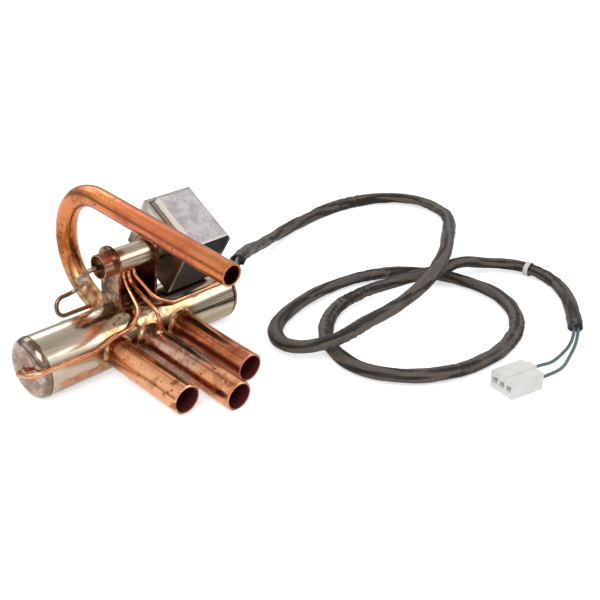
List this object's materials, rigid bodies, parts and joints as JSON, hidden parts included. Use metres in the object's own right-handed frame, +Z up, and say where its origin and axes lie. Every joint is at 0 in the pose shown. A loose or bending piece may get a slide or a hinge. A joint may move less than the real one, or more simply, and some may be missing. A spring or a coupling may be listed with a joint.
{
  "type": "four way reversing valve",
  "caption": "Solenoid piloted four way valve that swaps the refrigerant flow of a heat pump, with a cylindrical body, copper stubs, coil and a plug-ended lead.",
  "frame": {"origin": "on the surface the valve lies on, straight under the middle of the barrel's axis, which is where the barrel touches it", "axes": "+Z up, +X along the barrel towards the coil, -Y the way the three service tubes point"},
  "size_m": [0.2999, 0.2069, 0.0729],
  "materials": {
    "stainless_barrel": "polished drawn stainless steel with a warm tint",
    "copper_tube": "bare copper, bright where it was cleaned and darker in its streaks",
    "brass": "machined brass",
    "pilot_steel": "drawn stainless steel",
    "plunger_steel": "ground magnetic stainless steel",
    "pressed_steel": "pressed steel sheet",
    "spring_steel": "drawn spring wire",
    "slide_nylon": "moulded nylon",
    "cup_ptfe": "moulded PTFE",
    "zinc_yoke": "bright zinc plate",
    "coil_block": "moulded, dark grey",
    "bobbin_nylon": "moulded nylon",
    "winding_wire": "enamelled copper wire",
    "blank_label": "blank printed film with a cream edge",
    "plated_screw": "zinc plated",
    "lead_sleeve": "dark brown flexible sleeve",
    "wire_teal": "steel blue insulation",
    "band_white": "white tape",
    "connector_nylon": "natural nylon, a little translucent",
    "terminal_tin": "tinned"
  },
  "bodies": {
    "valve": {"valve_barrel": "stainless_barrel", "end_cap_left": "stainless_barrel", "end_cap_right": "stainless_barrel", "valve_seat": "brass", "evaporator_tube": "copper_tube", "suction_tube": "copper_tube", "condenser_tube": "copper_tube", "discharge_tube": "copper_tube", "pilot_tube": "pilot_steel", "pilot_plug": "brass", "pilot_seat": "brass", "pilot_core": "plunger_steel", "pilot_return_spring": "spring_steel", "pilot_bracket": "pressed_steel", "left_capillary": "copper_tube", "right_capillary": "copper_tube", "suction_capillary": "copper_tube", "discharge_capillary": "copper_tube", "coil_yoke": "zinc_yoke", "coil_body": "coil_block", "coil_bobbin": "bobbin_nylon", "coil_winding": "winding_wire", "coil_label": "blank_label", "coil_washer": "plated_screw", "coil_screw": "plated_screw", "lead_nose": "coil_block", "lead_sleeve": "lead_sleeve", "coil_wires": "wire_teal", "sleeve_band": "band_white", "connector_housing": "connector_nylon", "connector_terminals": "terminal_tin", "connector_wires": "wire_teal"},
    "slide_assembly": {"main_slide": "slide_nylon", "slide_spring": "spring_steel", "slide_frame": "pressed_steel", "piston_left": "pressed_steel", "piston_right": "pressed_steel", "piston_cup_left": "cup_ptfe", "piston_cup_right": "cup_ptfe", "cup_retainer_left": "pressed_steel", "cup_retainer_right": "pressed_steel", "piston_rivets": "pressed_steel"},
    "plunger": {"pilot_plunger": "plunger_steel", "slide_carrier": "pressed_steel", "pilot_slide": "slide_nylon"}
  },
  "joints": [
    {"name": "main_slide_travel", "type": "slide", "parent": "valve", "child": "slide_assembly", "axis": [1, 0, 0], "range_m": [0, 0.017]},
    {"name": "pilot_plunger_travel", "type": "slide", "parent": "valve", "child": "plunger", "axis": [1, 0, 0], "range_m": [0, 0.0028], "stiffness_N_per_m": 300, "springref_m": -0.004, "deforming": ["pilot_return_spring"]}
  ]
}
